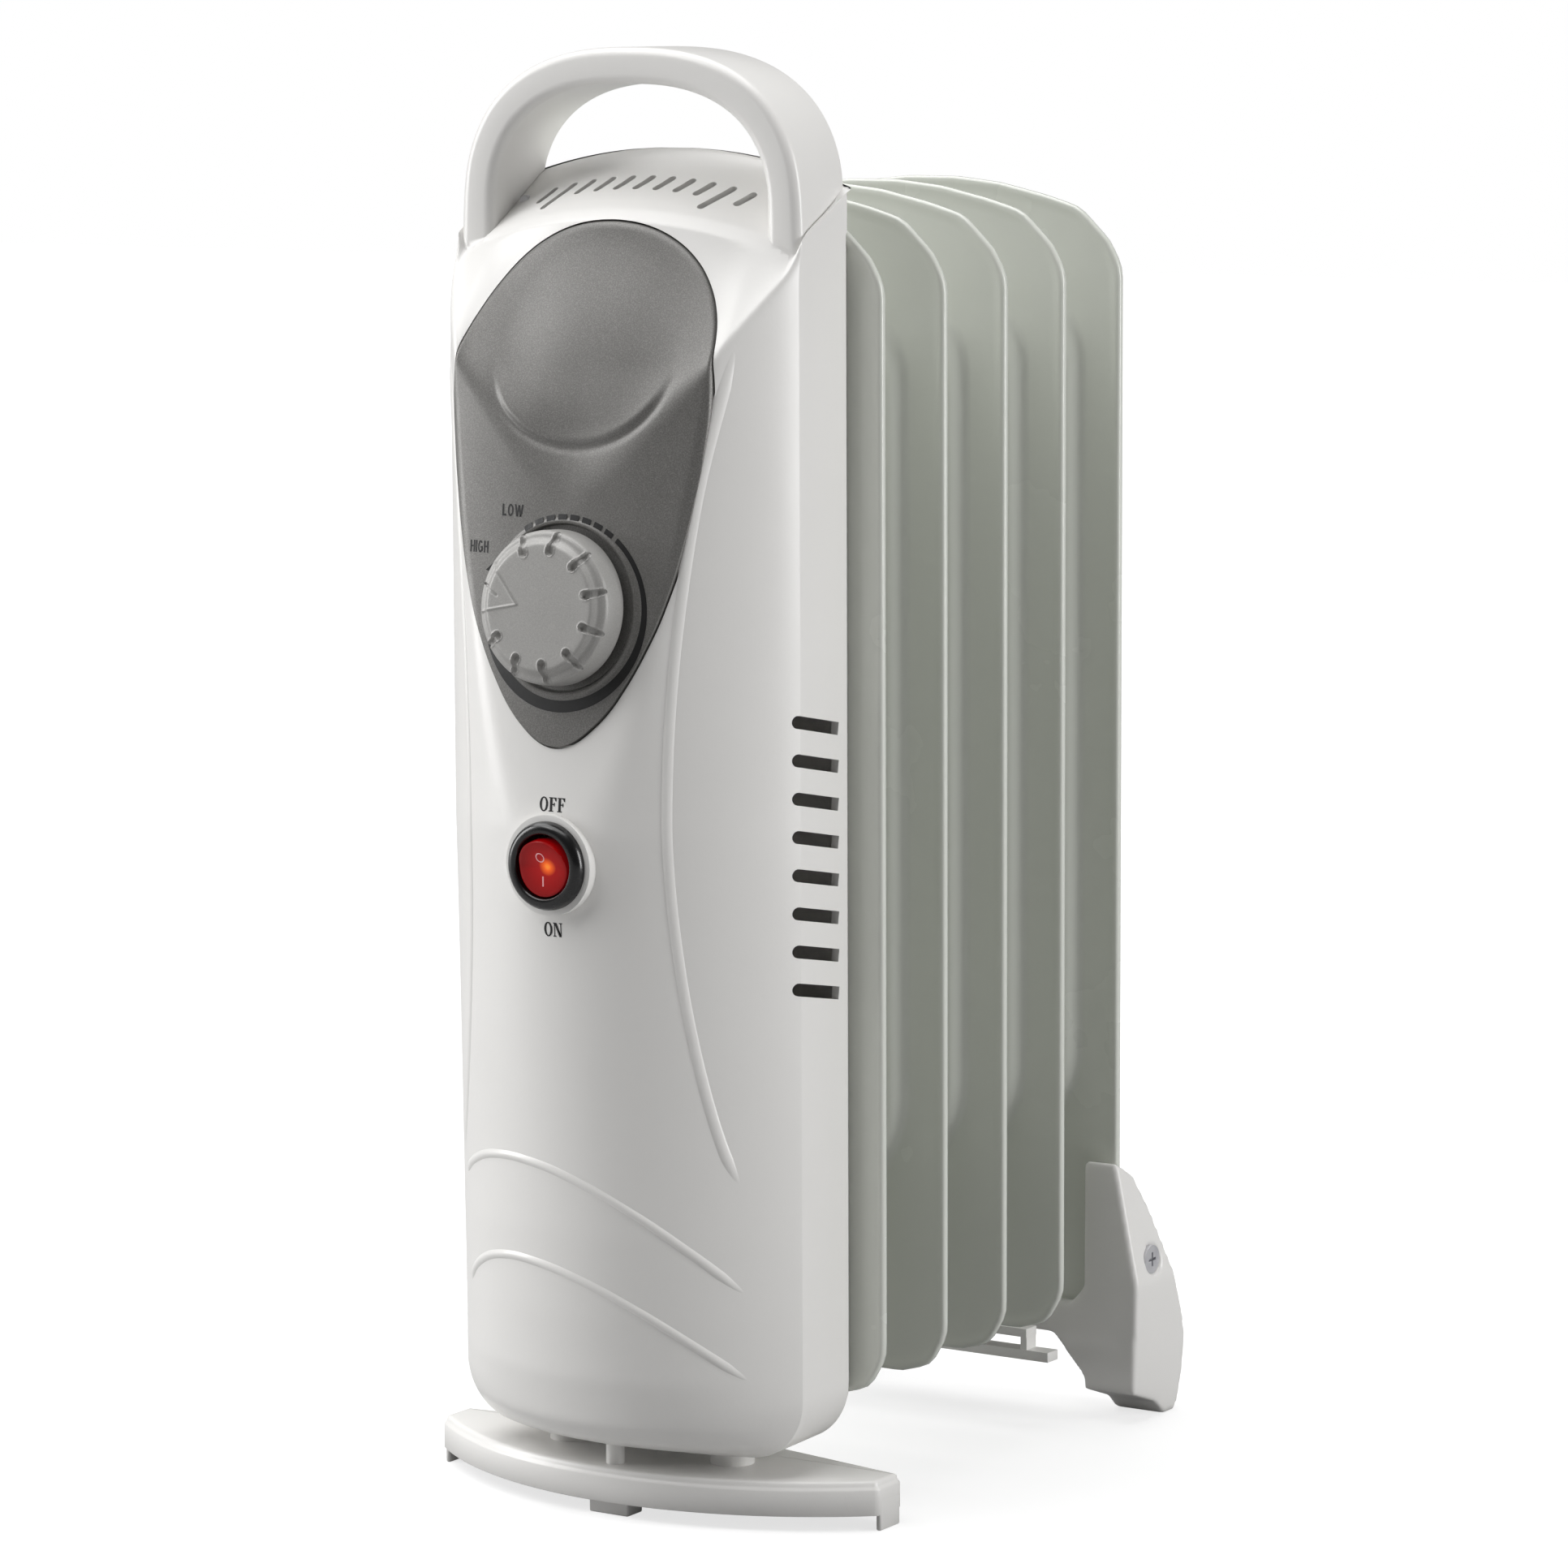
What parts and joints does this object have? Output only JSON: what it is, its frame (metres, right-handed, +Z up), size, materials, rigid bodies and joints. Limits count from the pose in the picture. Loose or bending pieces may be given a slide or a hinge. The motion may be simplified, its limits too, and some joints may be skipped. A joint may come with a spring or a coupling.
{
  "type": "oil filled radiator heater",
  "caption": "Compact free-standing oil filled radiator heater with upright fins, a moulded front housing with a carrying handle, a thermostat knob, a lit rocker switch and two feet.",
  "frame": {"origin": "on the floor, under the middle of the heater's footprint", "axes": "+X to the right as seen from the front, +Y from the controls towards the fins, +Z up"},
  "size_m": [0.1418, 0.2188, 0.3875],
  "materials": {
    "white_plastic": "fine satin",
    "grey_plastic": "fine grained",
    "black_plastic": "gloss",
    "red_lens": "translucent gloss",
    "enamel": "gloss enamel",
    "steel": "zinc plated",
    "brass": "plain",
    "rubber": "matte",
    "ceramic": "unglazed",
    "brown_insulation": "satin",
    "blue_insulation": "satin",
    "green_insulation": "satin"
  },
  "bodies": {
    "root": {"front_cover": "white_plastic", "rear_cover": "white_plastic", "control_panel": "grey_plastic", "thermostat_body": "black_plastic", "thermostat_nut": "steel", "bimetal_strip": "brass", "switch_body": "black_plastic", "switch_terminals": "brass", "tip_switch_body": "black_plastic", "tip_spring": "steel", "front_foot": "white_plastic", "foot_screws": "steel", "fin_1": "enamel", "fin_2": "enamel", "fin_3": "enamel", "fin_4": "enamel", "fin_5": "enamel", "upper_header": "enamel", "lower_header": "enamel", "header_caps": "enamel", "oil_fill_plug": "steel", "heating_element": "steel", "element_flange": "steel", "element_gasket": "rubber", "element_terminals": "brass", "mount_studs": "steel", "stud_nuts": "steel", "terminal_block": "ceramic", "thermal_fuse": "steel", "fuse_clip": "brass", "live_wire": "brown_insulation", "switched_wire": "brown_insulation", "thermostat_wire": "brown_insulation", "element_wire": "brown_insulation", "neutral_wire": "blue_insulation", "earth_wire": "green_insulation", "cord_gland": "black_plastic", "cover_screws": "steel", "rear_foot": "white_plastic", "foot_clamps": "steel", "rear_foot_screws": "steel", "cord_cleat": "white_plastic"},
    "knob": {"thermostat_knob": "grey_plastic", "thermostat_shaft": "steel"},
    "rocker": {"switch_rocker": "red_lens"},
    "contact": {"switch_contact": "brass"},
    "plunger": {"tip_plunger": "white_plastic"}
  },
  "joints": [
    {"name": "knob_turn", "type": "hinge", "parent": "root", "child": "knob", "pos_m": [0, -0.09695, 0.244], "axis": [0, -0.995, 0.0999], "range_deg": [0, 315]},
    {"name": "rocker_tilt", "type": "hinge", "parent": "root", "child": "rocker", "pos_m": [0, -0.10426, 0.1776], "axis": [-1, 0, 0], "range_deg": [0, 20]},
    {"name": "contact_tilt", "type": "hinge", "parent": "root", "child": "contact", "pos_m": [0, -0.09586, 0.1776], "axis": [-1, 0, 0], "range_deg": [-12, 0]},
    {"name": "plunger_slide", "type": "slide", "parent": "root", "child": "plunger", "axis": [0, 0, -1], "range_m": [0, 0.005], "stiffness_N_per_m": 60, "springref_m": 0.009, "deforming": ["tip_spring"]}
  ],
  "couplings": [
    {"joint": "contact_tilt", "follows": "rocker_tilt", "ratio": -0.6}
  ]
}
